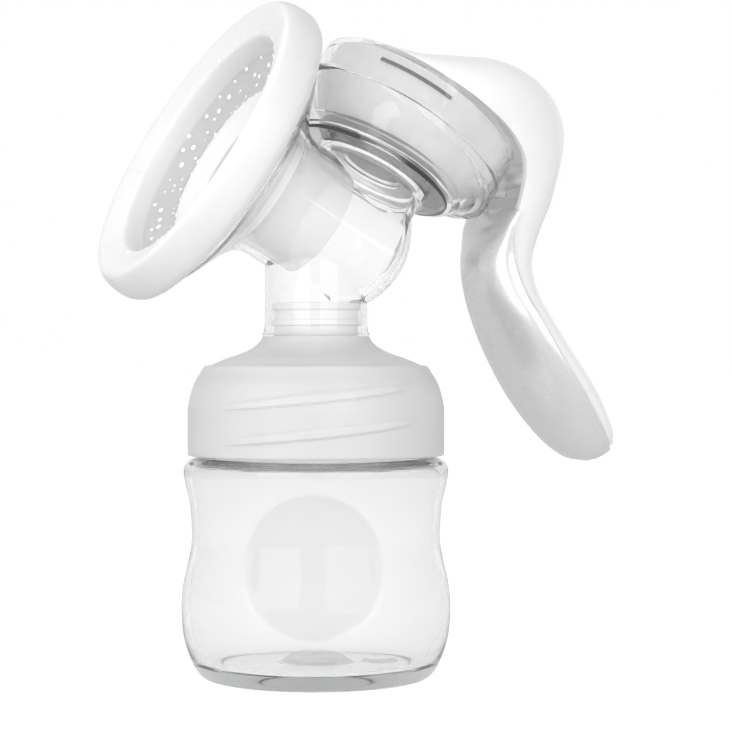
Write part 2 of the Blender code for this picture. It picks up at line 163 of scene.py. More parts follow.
def blend_colours(tree, share, first, second, kind="MIX"):
    """Mix or multiply two colours. The share may be a number, the second colour a grey."""
    node = tree.nodes.new("ShaderNodeMixRGB")
    node.blend_type = kind
    tree.links.new(first, node.inputs["Color1"])
    if isinstance(share, float):
        node.inputs["Fac"].default_value = share
    else:
        tree.links.new(share, node.inputs["Fac"])
    if isinstance(second, float):
        node.inputs["Color2"].default_value = (second, second, second, 1.0)
    else:
        tree.links.new(second, node.inputs["Color2"])
    return node.outputs["Color"]


def vector_math(tree, operation, first, second=None):
    """One vector operation; second may be a constant."""
    node = tree.nodes.new("ShaderNodeVectorMath")
    node.operation = operation
    tree.links.new(first, node.inputs[0])
    if second is not None:
        node.inputs[1].default_value = second
    return node.outputs["Value" if operation in ("DOT_PRODUCT", "LENGTH") else "Vector"]


# ---------------------------------------------------------------- stage, camera and light

def make_camera():
    """The camera, level, in front and a little to the left."""
    data = bpy.data.cameras.new("camera")
    data.lens = 110.6
    data.sensor_width = 36.0
    camera = bpy.data.objects.new("camera", data)
    bpy.context.scene.collection.objects.link(camera)
    camera.location = (-0.2254, -0.5148, 0.0775)
    camera.rotation_euler = VIEW_AXIS.to_track_quat("-Z", "Y").to_euler()
    bpy.context.scene.camera = camera


def make_world():
    """A white tent with darker side walls, which draw the outlines of the clear parts."""
    world = bpy.data.worlds.new("studio")
    bpy.context.scene.world = world
    world.use_nodes = True
    tree = world.node_tree
    place = tree.nodes.new("ShaderNodeTexCoord").outputs["Generated"]
    across = vector_math(tree, "DOT_PRODUCT", place, RIGHT_AXIS)
    along = remap(tree, vector_math(tree, "DOT_PRODUCT", place, VIEW_AXIS), -1.0, 1.0, 0.0, 1.0)
    walls = ramp(tree, along, [(0.0, 0.92), (0.1, 0.70), (0.3, 0.36), (0.62, 0.30), (0.8, 0.50), (0.9, 0.9)])
    walls = blend_colours(tree, 1.0, walls, remap(tree, across, -1.0, 1.0, 0.85, 1.10), "MULTIPLY")
    split = tree.nodes.new("ShaderNodeSeparateXYZ")
    tree.links.new(place, split.inputs[0])
    height = ramp(tree, split.outputs["Z"], [(0.18, 0.0), (0.65, 1.0)])
    tent = blend_colours(tree, height, walls, remap(tree, across, -1.0, 1.0, 0.95, 0.50))
    # Rays bent by the clear plastics see a softer, brighter version of the walls
    beyond = ramp(tree, along, [(0.0, 0.86), (0.3, 0.74), (0.5, 0.62), (0.66, 0.66), (0.8, 0.86), (0.9, 0.97)])
    rays = tree.nodes.new("ShaderNodeLightPath")
    bent = blend_colours(tree, rays.outputs["Is Transmission Ray"], tent, beyond)
    seen = blend_colours(tree, rays.outputs["Is Camera Ray"], bent, 1.0)
    tree.links.new(seen, tree.nodes["Background"].inputs["Color"])


def make_floor():
    """A wide pale floor that stays bright out to the horizon."""
    mesh = bpy.data.meshes.new("floor")
    net = bmesh.new()
    bmesh.ops.create_grid(net, x_segments=4, y_segments=4, size=40.0)
    net.to_mesh(mesh)
    net.free()
    floor = bpy.data.objects.new("floor", mesh)
    bpy.context.scene.collection.objects.link(floor)
    floor.location.z = -0.0002
    paint = bpy.data.materials.new("pale_floor")
    paint.use_nodes = True
    tree = paint.node_tree
    shader = tree.nodes["Principled BSDF"]
    shader.inputs["Base Color"].default_value = (0.35, 0.35, 0.35, 1.0)
    shader.inputs["Roughness"].default_value = 0.9
    shader.inputs["Specular IOR Level"].default_value = 0.1
    shader.inputs["Emission Color"].default_value = (1.0, 1.0, 1.0, 1.0)
    rays = tree.nodes.new("ShaderNodeLightPath")
    seen = tree.nodes.new("ShaderNodeMath")
    seen.operation = "MAXIMUM"
    tree.links.new(rays.outputs["Is Camera Ray"], seen.inputs[0])
    tree.links.new(rays.outputs["Is Transmission Ray"], seen.inputs[1])
    glow = remap(tree, seen.outputs["Value"], 0.0, 1.0, 0.40, 0.80)
    tree.links.new(glow, shader.inputs["Emission Strength"])
    mesh.materials.append(paint)


def soft_light(name, place, aim, size, power, shines):
    """A square soft box that looks at a point. It mirrors in glossy pieces only if it shines."""
    data = bpy.data.lights.new(name, "AREA")
    data.size = size
    data.energy = power
    lamp = bpy.data.objects.new(name, data)
    bpy.context.scene.collection.objects.link(lamp)
    lamp.location = place
    lamp.visible_glossy = shines
    lamp.visible_transmission = False
    lamp.rotation_euler = (Vector(aim) - Vector(place)).to_track_quat("-Z", "Y").to_euler()


def make_lights():
    """A soft box on the left, a large one in front that gives most of the light, and a weak one behind."""
    middle = (0.0, 0.0, 0.1)
    soft_light("key_light", (-0.42, -0.28, 0.20), (-0.02, 0.0, 0.09), 0.35, 0.95, True)
    soft_light("fill_light", (0.10, -1.05, 0.30), middle, 0.8, 4.2, True)
    soft_light("back_light", (0.35, 0.8, 0.7), middle, 0.6, 0.5, False)


# ---------------------------------------------------------------- materials

def principled(name, colour, roughness, **values):
    """A Principled material; values are its sockets' names with _ for spaces."""
    material = bpy.data.materials.new(name)
    material.use_nodes = True
    shader = material.node_tree.nodes["Principled BSDF"]
    shader.inputs["Base Color"].default_value = (*colour, 1.0)
    shader.inputs["Roughness"].default_value = roughness
    shader.inputs["Subsurface Radius"].default_value = (1.0, 1.0, 1.0)
    for key, value in values.items():
        shader.inputs[key.replace("_", " ")].default_value = value
    return material


def noise(tree, size, detail=2.0):
    """Noise whose features are about size (mm) across."""
    place = tree.nodes.new("ShaderNodeTexCoord")
    cloud = tree.nodes.new("ShaderNodeTexNoise")
    cloud.inputs["Scale"].default_value = 1.0 / (size * MM)
    cloud.inputs["Detail"].default_value = detail
    tree.links.new(place.outputs["Object"], cloud.inputs["Vector"])
    return cloud.outputs["Fac"]


def spread(tree, source, low, high, socket):
    """Feed a socket with a noise turned into the range low to high."""
    tree.links.new(remap(tree, source, 0.3, 0.7, low, high), socket)


def tint(tree, source, dark, light, socket):
    """Feed a colour socket with a blend of two colours along a noise."""
    tree.links.new(ramp(tree, source, [(0.35, dark), (0.65, light)]), socket)


def relief(tree, source, depth):
    """Bump of a depth in mm from a height source, into the shader's normal."""
    bump = tree.nodes.new("ShaderNodeBump")
    bump.inputs["Distance"].default_value = depth * MM
    bump.inputs["Strength"].default_value = 1.0
    tree.links.new(source, bump.inputs["Height"])
    tree.links.new(bump.outputs["Normal"], tree.nodes["Principled BSDF"].inputs["Normal"])


def absorb(material, density):
    """Grey that builds up with the plastic's thickness."""
    tree = material.node_tree
    volume = tree.nodes.new("ShaderNodeVolumeAbsorption")
    volume.inputs["Color"].default_value = (0.50, 0.51, 0.52, 1.0)
    volume.inputs["Density"].default_value = density
    tree.links.new(volume.outputs["Volume"], tree.nodes["Material Output"].inputs["Volume"])


def pass_light(material, share):
    """Let the lamps shine through a clear piece onto what is inside it."""
    tree = material.node_tree
    rays = tree.nodes.new("ShaderNodeLightPath")
    through = tree.nodes.new("ShaderNodeBsdfTransparent")
    through.inputs["Color"].default_value = (share, share, share, 1.0)
    mix = tree.nodes.new("ShaderNodeMixShader")
    tree.links.new(rays.outputs["Is Shadow Ray"], mix.inputs["Fac"])
    tree.links.new(tree.nodes["Principled BSDF"].outputs["BSDF"], mix.inputs[1])
    tree.links.new(through.outputs["BSDF"], mix.inputs[2])
    tree.links.new(mix.outputs["Shader"], tree.nodes["Material Output"].inputs["Surface"])


def clear_plastic(name, shade, density, see_through, ior, gloss):
    """Polished clear polypropylene with a little haze and faint mould waves."""
    material = principled(name, (shade, shade, shade), 0.03, Transmission_Weight=see_through, IOR=ior,
                          Coat_Weight=gloss, Coat_Roughness=0.03)
    tree = material.node_tree
    shader = tree.nodes["Principled BSDF"]
    spread(tree, noise(tree, 9.0), 0.015, 0.06, shader.inputs["Roughness"])
    relief(tree, noise(tree, 14.0, 0.0), 0.012)
    absorb(material, density)
    pass_light(material, 0.96)
    return material


def bottle_plastic():
    """The bottle's clear plastic, a little greyer on the round thumb rest in front."""
    material = clear_plastic("bottle_polypropylene", 0.925, 27.0, 0.93, 1.12, 0.3)
    tree = material.node_tree
    place = tree.nodes.new("ShaderNodeTexCoord").outputs["Object"]
    thumb = Vector((THUMB_WALL * math.cos(FACING), THUMB_WALL * math.sin(FACING), THUMB_HEIGHT)) * MM
    away = vector_math(tree, "LENGTH", vector_math(tree, "SUBTRACT", place, thumb))
    grey = remap(tree, away, (THUMB_RADIUS - 0.6) * MM, (THUMB_RADIUS + 0.6) * MM, 0.83, 0.925, "SMOOTHSTEP")
    tree.links.new(grey, tree.nodes["Principled BSDF"].inputs["Base Color"])
    return material


def frosted_plastic():
    """Milky satin polypropylene with a fine spark-eroded grain."""
    material = principled("frosted_polypropylene", (0.74, 0.74, 0.745), 0.42, Subsurface_Weight=0.4,
                          Subsurface_Scale=0.004, Transmission_Weight=0.10, IOR=1.38)
    tree = material.node_tree
    shader = tree.nodes["Principled BSDF"]
    tint(tree, noise(tree, 20.0), (0.73, 0.73, 0.735), (0.76, 0.76, 0.765), shader.inputs["Base Color"])
    spread(tree, noise(tree, 4.0), 0.38, 0.46, shader.inputs["Roughness"])
    relief(tree, noise(tree, 0.7), 0.006)
    return material


def silicone(name, colour, roughness):
    """Satin silicone rubber: light soaks in, and the skin has a fine powdery grain."""
    material = principled(name, colour, roughness, Subsurface_Weight=0.6, Subsurface_Scale=0.004, IOR=1.41)
    tree = material.node_tree
    shader = tree.nodes["Principled BSDF"]
    darker = tuple(value * 0.975 for value in colour)
    tint(tree, noise(tree, 12.0), darker, colour, shader.inputs["Base Color"])
    spread(tree, noise(tree, 3.0), roughness - 0.06, roughness + 0.06, shader.inputs["Roughness"])
    relief(tree, noise(tree, 0.4), 0.010)
    return material


def film_silicone(name, colour, open_share, swing, glow):
    """Thin milky silicone: partly see-through, and bright with the light behind it."""
    material = silicone(name, colour, 0.25)
    tree = material.node_tree
    shader = tree.nodes["Principled BSDF"]
    shader.inputs["Subsurface Weight"].default_value = 0.0
    behind = tree.nodes.new("ShaderNodeBsdfTranslucent")
    behind.inputs["Color"].default_value = (*colour, 1.0)
    clear = tree.nodes.new("ShaderNodeBsdfTransparent")
    milky = tree.nodes.new("ShaderNodeMixShader")
    milky.inputs["Fac"].default_value = glow
    tree.links.new(shader.outputs["BSDF"], milky.inputs[1])
    tree.links.new(behind.outputs["BSDF"], milky.inputs[2])
    whole = tree.nodes.new("ShaderNodeMixShader")
    spread(tree, noise(tree, 11.0, 1.0), open_share - swing, open_share + swing, whole.inputs["Fac"])
    tree.links.new(milky.outputs["Shader"], whole.inputs[1])
    tree.links.new(clear.outputs["BSDF"], whole.inputs[2])
    tree.links.new(whole.outputs["Shader"], tree.nodes["Material Output"].inputs["Surface"])
    return material


def lining_silicone_with_painted_shade():
    """The funnel lining's silicone with painted shade in rings round its axis: darker in the throat, on the concave
    band, on the step wall below the flat annulus and at the rim's outer edge.
    """
    material = silicone("cushion_silicone", (0.91, 0.91, 0.91), 0.42)
    tree = material.node_tree
    shader = tree.nodes["Principled BSDF"]
    place = tree.nodes.new("ShaderNodeTexCoord").outputs["Object"]
    axis = FUNNEL_FRAME.to_3x3() @ Vector((0.0, 0.0, 1.0))
    offset = vector_math(tree, "SUBTRACT", place, Vector(FUNNEL_CENTRE) * MM)
    radius = vector_math(tree, "LENGTH", vector_math(tree, "CROSS_PRODUCT", offset, axis))
    share = remap(tree, radius, 0.0, LINING_EDGE * MM, 0.0, 1.0)
    # Painted shade by radius from the funnel's axis: darker throat, concave band, step wall and outer rim edge
    rings = ramp(tree, share, [(0.325, 0.60), (0.345, 1.0), (0.50, 1.0), (0.52, 0.67), (0.735, 0.67),
                               (0.75, 0.80), (0.768, 0.82), (0.785, 1.0), (0.97, 1.0), (1.0, 0.84)])
    plain = shader.inputs["Base Color"].links[0].from_socket
    tree.links.new(blend_colours(tree, 1.0, plain, rings, "MULTIPLY"), shader.inputs["Base Color"])
    return material


def glossy_plastic(name, colour, roughness, pearl):
    """Polished opaque moulded plastic with a faint orange peel; pearl is its silvery share."""
    material = principled(name, colour, roughness, Coat_Weight=0.2, Coat_Roughness=0.08, Metallic=pearl)
    tree = material.node_tree
    shader = tree.nodes["Principled BSDF"]
    darker = tuple(value * 0.99 for value in colour)
    tint(tree, noise(tree, 25.0), darker, colour, shader.inputs["Base Color"])
    spread(tree, noise(tree, 12.0), roughness - 0.02, roughness + 0.03, shader.inputs["Roughness"])
    relief(tree, noise(tree, 16.0, 0.0), 0.010)
    return material


# ---------------------------------------------------------------- shape tools

def spline(points, per=6):
    """A smooth curve through points, with per steps to a span. Any number of dimensions."""
    places = [Vector(p) for p in points]
    times = [0.0]
    for a, b in zip(places, places[1:]):
        times.append(times[-1] + max((b - a).length, 1e-6))
    last = len(places) - 1
    slopes = []
    for i in range(last + 1):
        low, high = max(i - 1, 0), min(i + 1, last)
        slopes.append((places[high] - places[low]) / (times[high] - times[low]))
    line = []
    for i in range(last):
        span = times[i + 1] - times[i]
        for step in range(per):
            t = step / per
            line.append(places[i] * (2 * t ** 3 - 3 * t ** 2 + 1) + slopes[i] * span * (t ** 3 - 2 * t ** 2 + t)
                        + places[i + 1] * (3 * t ** 2 - 2 * t ** 3) + slopes[i + 1] * span * (t ** 3 - t ** 2))
    return line + [places[-1]]


def runs(*pieces, per=6):
    """Smooth runs joined at corners. Each run starts at the last one's end."""
    line = []
    for piece in pieces:
        part = spline(piece, per)
        line += part if not line else part[1:]
    return line


def ease(low, high, value):
    """0 below low, 1 above high, and smooth between."""
    t = min(max((value - low) / (high - low), 0.0), 1.0)
    return t * t * (3 - 2 * t)


def skin(name, rows, around=True, along=False):
    """A surface through rows of points (mm), welded where they meet."""
    mesh = bpy.data.meshes.new(name)
    net = bmesh.new()
    lines = [[net.verts.new(Vector(point) * MM) for point in row] for row in rows]
    pairs = list(zip(lines, lines[1:])) + ([(lines[-1], lines[0])] if along else [])
    count = len(rows[0])
    for upper, lower in pairs:
        for i in range(count if around else count - 1):
            j = (i + 1) % count
            net.faces.new((upper[i], lower[i], lower[j], upper[j]))
    bmesh.ops.remove_doubles(net, verts=net.verts, dist=WELD)
    bmesh.ops.recalc_face_normals(net, faces=net.faces)
    net.to_mesh(mesh)
    net.free()
    obj = bpy.data.objects.new(name, mesh)
    bpy.context.scene.collection.objects.link(obj)
    return obj


def lathe(name, profile, steps=160, closed=True, push=None):
    """Turn (radius, height) points round Z. push(angle, radius, height) moves a point outwards."""
    rows = []
    for radius, height in profile:
        row = []
        for step in range(steps):
            angle = 2 * math.pi * step / steps
            reach = radius + (push(angle, radius, height) if push else 0.0)
            row.append((reach * math.cos(angle), reach * math.sin(angle), height))
        rows.append(row)
    return skin(name, rows, along=closed)


def finish_piece(obj, material, body, slot, *nodes, place=UPRIGHT, angle=32):
    """Place a piece, give it its material and tie it to its body."""
    obj.data.transform(place)
    obj.data.materials.clear()
    obj.data.materials.append(material)
    obj.data.shade_smooth()
    obj.data.set_sharp_from_angle(angle=math.radians(angle))
    if nodes:
        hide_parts(*nodes)
    if body:
        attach(obj, body)


def tint_faces(obj, material, chosen):
    """Give the chosen faces (by number) a second material."""
    obj.data.materials.append(material)
    for index in chosen:
        obj.data.polygons[index].material_index = 1


def settle(obj):
    """Turn an object's modifiers into its mesh."""
    graph = bpy.context.evaluated_depsgraph_get()
    mesh = bpy.data.meshes.new_from_object(obj.evaluated_get(graph))
    obj.modifiers.clear()
    obj.data = mesh
    return obj


def thicken(obj, thickness):
    """Give an open surface a wall, on the inner side."""
    wall = obj.modifiers.new("wall", "SOLIDIFY")
    wall.thickness = thickness * MM
    wall.offset = -1.0
    wall.use_even_offset = True
    return settle(obj)


def combine(target, operation, helper, place=UPRIGHT):
    """Add a helper solid to the target, or cut it away, and drop the helper."""
    helper.data.transform(place)
    cut = target.modifiers.new("cut", "BOOLEAN")
    cut.operation = operation
    cut.object = helper
    bpy.context.view_layer.update()
    settle(target)
    bpy.data.objects.remove(helper, do_unlink=True)


def slab(name, outline, low, high):
    """A plate with an outline of (x, z) points between two places along Y."""
    rows = [[(x, y, z) for x, z in outline] for y in (low, high)]
    obj = skin(name, rows)
    net = bmesh.new()
    net.from_mesh(obj.data)
    bmesh.ops.holes_fill(net, edges=net.edges, sides=0)
    bmesh.ops.recalc_face_normals(net, faces=net.faces)
    net.to_mesh(obj.data)
    net.free()
    return obj


def bevel(obj, width):
    """Round an object's sharp edges."""
    edge = obj.modifiers.new("edge", "BEVEL")
    edge.width = width * MM
    edge.segments = 2
    edge.limit_method = "ANGLE"
    edge.angle_limit = math.radians(35)
    return settle(obj)


def thread_height(angle, height, start, turns):
    """Height of a right-hand thread's ridge at a place on a wall."""
    turn = (angle % (2 * math.pi)) / (2 * math.pi)
    best = 0.0
    for k in range(int(turns) + 1):
        done = turn + k
        if done > turns:
            continue
        off = abs(height - start - THREAD_PITCH * done)
        fade = ease(0.0, 0.06, done) * ease(0.0, 0.06, turns - done)
        best = max(best, THREAD_DEPTH * fade * (1 - ease(THREAD_WIDTH * 0.35, THREAD_WIDTH, off)))
    return best


# ---------------------------------------------------------------- bottle and skirt

def dimple(angle, height):
    """Depth of the two round thumb rests, on the front and on the back."""
    best = 0.0
    for centre in (FACING, FACING + math.pi):
        turn = (angle - centre + math.pi) % (2 * math.pi) - math.pi
        away = math.hypot((THUMB_WALL + 0.6) * turn, height - THUMB_HEIGHT)
        best = max(best, THUMB_DEPTH * (1 - ease(THUMB_RADIUS - 1.8, THUMB_RADIUS + 0.9, away)))
    return best


def make_bottle(material):
    """Waisted bottle: thick base, bump and small boss in the floor, thumb rests and thread."""
    outside = runs([(NECK_RADIUS - 0.5, LIP_HEIGHT), (NECK_RADIUS - 0.12, LIP_HEIGHT - 0.15),
                    (NECK_RADIUS, LIP_HEIGHT - 0.5)],
                   [(NECK_RADIUS, LIP_HEIGHT - 0.5), (NECK_RADIUS, 64.0), (NECK_RADIUS, 56.4)], per=4)
    outside = outside[:4] + [Vector((NECK_RADIUS, LIP_HEIGHT - 0.5 - 0.28 * k)) for k in range(54)]
    outside += runs([(NECK_RADIUS, 56.4), (27.05, 55.5), (27.9, 55.15), (30.4, 54.9), (32.1, 54.1), (33.0, 52.0),
                     (32.6, 48.6), (31.5, 43.8), (31.0, 38.0), (31.1, 33.0), (32.0, 28.4), (33.0, 24.0),
                     (33.5, 18.5), (33.2, 12.2), (32.5, 8.7), (31.2, 5.0), (29.8, 2.4), (28.2, 0.7), (26.2, 0.0)],
                    [(26.2, 0.0), (24.6, 0.15), (23.8, 0.7)],
                    [(23.8, 0.7), (12.0, 0.8), (0.0, 0.8)], per=7)
    inside = runs([(0.0, 6.5), (2.4, 6.45), (4.8, 6.2), (6.6, 5.4), (7.9, 4.3), (9.2, 3.6)],
                  [(9.2, 3.6), (10.5, 3.5), (12.0, 3.5), (13.5, 3.5), (15.0, 3.5), (16.5, 3.5), (18.0, 3.5),
                   (19.5, 3.5), (21.0, 3.5), (23.6, 3.6), (27.4, 4.9), (29.8, 8.2), (31.2, 12.6), (31.7, 18.5),
                   (31.2, 24.0), (30.2, 28.4), (29.4, 33.5), (29.2, 38.0), (29.7, 43.8), (30.8, 48.6),
                   (31.0, 51.2), (29.8, 52.9), (26.6, 53.6), (25.2, 54.4), (24.9, 55.6)],
                  [(24.9, 55.6), (24.9, 64.0), (24.9, LIP_HEIGHT - 0.4)],
                  [(24.9, LIP_HEIGHT - 0.4), (25.02, LIP_HEIGHT - 0.12), (25.3, LIP_HEIGHT)], per=7)

    def push(angle, radius, height):
        if height > 56.2 and radius > 26:
            return thread_height(angle, height, THREAD_START, BOTTLE_TURNS)
        if 10.0 < height < 50.0 and radius > 28:
            return -dimple(angle, height)
        return 0.0

    bottle = lathe("bottle_wall", outside + inside, 256, closed=False, push=push)
    boss = RIGHT_AXIS * BOSS_PLACE * MM
    for vertex in bottle.data.vertices:
        if 3.3 * MM < vertex.co.z < 3.8 * MM:
            away = math.hypot(vertex.co.x - boss.x, vertex.co.y - boss.y) / MM
            vertex.co.z += BOSS_RISE * MM * (1 - ease(3.7, 4.7, away))
    finish_piece(bottle, material, "bottle", "clear_plastic", "bottle", angle=40)


SKIRT_OUTSIDE = [(13.3, 85.2), (13.9, 84.0), (15.5, 82.5), (18.3, 81.0), (22.4, 79.6), (25.6, 78.25),
                 (26.5, 77.95), (27.2, 77.9), (27.9, 77.55), (28.8, 76.2), (29.7, 74.8), (30.5, 73.2),
                 (31.4, 70.4), (SKIRT_RADIUS, 67.5)]


def swirl(angle, height):
    """Height of the raised swirl bands: flat-topped ridges that taper at both ends."""
    best = 0.0
    for start_height in BAND_FEET:
        for number in range(BAND_COUNT):
            start = BAND_START + 2 * math.pi * number / BAND_COUNT
            share = ((angle - start) % (2 * math.pi)) / BAND_SWEEP
            if share > 1.0:
                continue
            centre = start_height + BAND_RISE * share
            width = 0.35 + 1.15 * math.sin(math.pi * share) ** 0.6
            fade = ease(0.0, 0.16, share) * ease(0.0, 0.16, 1.0 - share)
            best = max(best, BAND_HEIGHT * fade * (1 - ease(width * 0.55, width, abs(height - centre))))
    return best


def make_skirt(material):
    """Frosted dome that screws on the bottle, with swirl bands outside and the thread inside."""
    upper = spline(SKIRT_OUTSIDE, 7)
    wall = [Vector((SKIRT_RADIUS, 67.5 - 0.22 * k)) for k in range(1, 52)]
    edge = spline([(SKIRT_RADIUS, 56.0), (31.85, 55.65), (31.5, SKIRT_BOTTOM)], 4)
    inside = [Vector(p) for p in ((30.2, SKIRT_BOTTOM), (29.75, 55.7), (SKIRT_BORE, 56.1))]
    inside += [Vector((SKIRT_BORE, 56.4 + 0.3 * k)) for k in range(50)]
    inside += spline([(28.8, 73.0), (28.8, CEILING)], 2)
    inside += runs([(28.8, CEILING), (22.5, CEILING)],
                   [(22.5, CEILING), (20.8, 77.8), (17.4, 79.2), (14.2, 80.9), (12.2, 82.8), (11.6, SKIRT_TOP)],
                   per=5)

    def push(angle, radius, height):
        if radius > SKIRT_BORE + 0.05 and height < 75.0:
            return swirl(angle, height)
        if abs(radius - SKIRT_BORE) < 0.01:
            return -thread_height(angle, height, THREAD_START + THREAD_PITCH / 2, SKIRT_TURNS)
        return 0.0

    skirt = lathe("skirt_dome", upper + wall + edge + inside, 320, push=push)
    finish_piece(skirt, material, "pump", "frosted_plastic", "thread_skirt")


def make_lip_seal(material):
    """Soft flat washer with two sealing beads."""
    low, high = LIP_HEIGHT + 0.3, CEILING - 0.3
    profile = runs([(25.0, high), (26.2, high), (26.7, high + 0.12), (27.2, high), (28.1, high)],
                   [(28.1, high), (28.4, high - 0.4), (28.4, low + 0.4), (28.1, low)],
                   [(28.1, low), (27.0, low), (26.0, low - 0.12), (25.2, low)], per=4)
    finish_piece(lathe("lip_washer", profile, 128), material, "seal", "seal_silicone", "lip_seal")


# ---------------------------------------------------------------- funnel, neck and cushion

def make_pump_body(material):
    """Clear funnel, its closed tube, the neck down to the skirt and the riser up to the cup."""
    outer_bell = [(37.6, 2.2), (37.5, 0.4), (34.2, -3.2), (28.6, -6.4), (22.4, -10.0), (18.4, -13.2),
                  (16.6, -16.0), (16.2, -18.5)]
    inner_bell = [(36.0, 2.6), (35.7, 1.2), (32.8, -2.0), (27.4, -5.1), (21.2, -8.8), (17.2, -11.9),
                  (15.2, -15.2), (14.8, -18.5)]

    def dome(radius, cap):
        reach = math.asin(radius / cap)
        return [(cap * math.sin(reach * k / 14), -33.0 - cap * math.cos(reach * k / 14)) for k in range(14, -1, -1)]

    outer = runs([(0.0, 2.2), (37.6, 2.2)], outer_bell, per=5) + [Vector(p) for p in dome(16.2, 20.9)]
    body = lathe("pump_body", outer, 128, closed=False)
    body.data.transform(FUNNEL_FRAME)
    neck = lathe("neck_solid", runs([(0.0, 112.0), (TUBE_NECK_RADIUS, 112.0)],
                                    [(TUBE_NECK_RADIUS, 112.0), (TUBE_NECK_RADIUS, 90.0), (12.8, 88.4),
                                     (13.0, 86.8), (13.5, SKIRT_TOP + 0.3)],
                                    [(13.5, SKIRT_TOP + 0.3), (0.0, SKIRT_TOP + 0.3)], per=4), 128, closed=False)
    combine(body, "UNION", neck)
    riser = lathe("riser_solid", runs([(0.0, -0.3), (15.5, -0.3)], [(15.5, -0.3), (15.5, -2.1)],
                                      [(15.5, -2.1), (14.6, -2.6)], [(14.6, -2.6), (14.6, -13.5)],
                                      [(14.6, -13.5), (0.0, -13.5)], per=2), 128, closed=False)
    combine(body, "UNION", riser, SEAT_FRAME)
    inner = runs([(0.0, 5.2), (36.0, 5.2)], [(36.0, 5.2), (36.0, 2.6)], inner_bell, per=5)
    inner += [Vector(p) for p in dome(14.7, 19.4)]
    combine(body, "DIFFERENCE", lathe("hollow", inner, 128, closed=False), FUNNEL_FRAME)
    hollow = lathe("neck_hollow", [(0.0, 110.0), (TUBE_NECK_BORE, 110.0), (TUBE_NECK_BORE, 88.0), (12.0, 80.0),
                                   (0.0, 80.0)], 128, closed=False)
    combine(body, "DIFFERENCE", hollow)
    port = lathe("riser_hollow", [(0.0, 4.0), (12.5, 4.0), (12.5, -12.0), (0.0, -12.0)], 128, closed=False)
    combine(body, "DIFFERENCE", port, SEAT_FRAME)
    finish_piece(body, material, "pump", "clear_plastic", "funnel_body", angle=30)


CUSHION_FACE = [(12.8, -4.8), (13.0, -4.1), (13.6, -3.5), (14.8, -2.9), (16.4, -2.3), (18.2, -1.5), (19.4, -1.0),
                (20.2, -0.75), (20.8, -0.9), (22.2, -0.7), (24.0, 0.0), (26.4, 0.8), (28.2, 1.6), (29.3, 2.3),
                (29.9, 3.2), (30.2, 4.7), (30.5, 6.2), (30.8, 7.1), (31.5, 7.7), (34.6, 8.8), (38.0, 9.9)]


def make_cushion(material, thin_film_and_painted_shade, bead_material):
    """Soft lining with a rolled rim, a concave band of raised dots and a ring of beads round the throat."""
    rim = [(38.0, 9.9), (38.8, 9.8), (39.6, 9.1), (40.5, 7.6), (41.1, 4.8), (41.0, 1.6), (40.0, -0.3)]
    hook = [(40.0, -0.3), (39.3, -0.6), (38.7, -0.5), (38.3, 0.4), (38.3, 2.8), (37.9, 3.5), (37.0, 3.7),
            (36.0, 3.5), (35.3, 1.6), (32.2, -1.7), (26.9, -4.6), (20.7, -8.2), (16.7, -11.4), (14.6, -14.4),
            (14.35, -18.0), (14.3, -29.8)]
    tube = [(14.3, -29.8), (13.9, -30.0), (13.0, -30.0), (12.8, -29.8)]
    profile = runs([(12.8, -29.8), (12.8, -18.0), (12.8, -10.0), (12.8, -4.8)], CUSHION_FACE, rim, hook, tube, per=5)
    cushion = lathe("funnel_lining", profile, 200)
    # The deep faces of the tube get a thin, partly see-through silicone; its darker grey is painted shade deep
    # inside the funnel.
    deep = [face.index for face in cushion.data.polygons if face.center.z < THIN_STATION * MM]
    finish_piece(cushion, material, "pump", "cushion_silicone", "funnel_cushion", place=FUNNEL_FRAME, angle=60)
    cushion.visible_shadow = False
    tint_faces(cushion, thin_film_and_painted_shade, deep)

    face = spline(CUSHION_FACE, 12)
    draw = random.Random(7)
    ball = [(math.sin(math.pi * ring / 8) * math.cos(2 * math.pi * k / 14),
             math.sin(math.pi * ring / 8) * math.sin(2 * math.pi * k / 14), 0.5 * math.cos(math.pi * ring / 8))
            for ring in range(1, 8) for k in range(14)] + [(0.0, 0.0, 0.5), (0.0, 0.0, -0.5)]
    skin_faces = [(14 * ring + k, 14 * ring + (k + 1) % 14, 14 * ring + 14 + (k + 1) % 14, 14 * ring + 14 + k)
                  for ring in range(6) for k in range(14)]
    skin_faces = [face_points[::-1] for face_points in skin_faces]
    skin_faces += [(98, k, (k + 1) % 14) for k in range(14)]
    skin_faces += [(99, 84 + (k + 1) % 14, 84 + k) for k in range(14)]
    points, faces, dots = [], [], []
    for number in range(34):
        dots.append((20.4, 2 * math.pi * (number + draw.uniform(-0.3, 0.3)) / 34, draw.uniform(0.32, 0.75)))
    for radius, count, low, high in ((22.8, 30, 0.30, 0.55), (25.6, 36, 0.35, 0.90), (28.6, 30, 0.30, 0.70),
                                     (32.2, 40, 0.24, 0.60)):
        for number in range(count):
            angle = 2 * math.pi * (number + draw.uniform(-0.42, 0.42)) / count
            dots.append((radius + draw.uniform(-1.1, 1.1), angle, draw.uniform(low, high)))
    for radius, angle, size in dots:
        nearest = min(range(1, len(face) - 1), key=lambda k: abs(face[k].x - radius))
        lean = (face[nearest + 1] - face[nearest - 1]).normalized()
        base = Matrix.Rotation(angle, 4, "Z") @ Matrix.Translation((face[nearest].x * MM, 0.0, face[nearest].y * MM))
        turn = base @ Matrix.Rotation(-math.atan2(lean.y, lean.x), 4, "Y")
        faces += [tuple(len(points) + k for k in corners) for corners in skin_faces]
        points += [turn @ (Vector(place) * size * MM) for place in ball]
    mesh = bpy.data.meshes.new("lining_dots")
    mesh.from_pydata(points, [], faces)
    beads = bpy.data.objects.new("lining_dots", mesh)
    bpy.context.scene.collection.objects.link(beads)
    finish_piece(beads, bead_material, "pump", "cushion_silicone", place=FUNNEL_FRAME, angle=80)


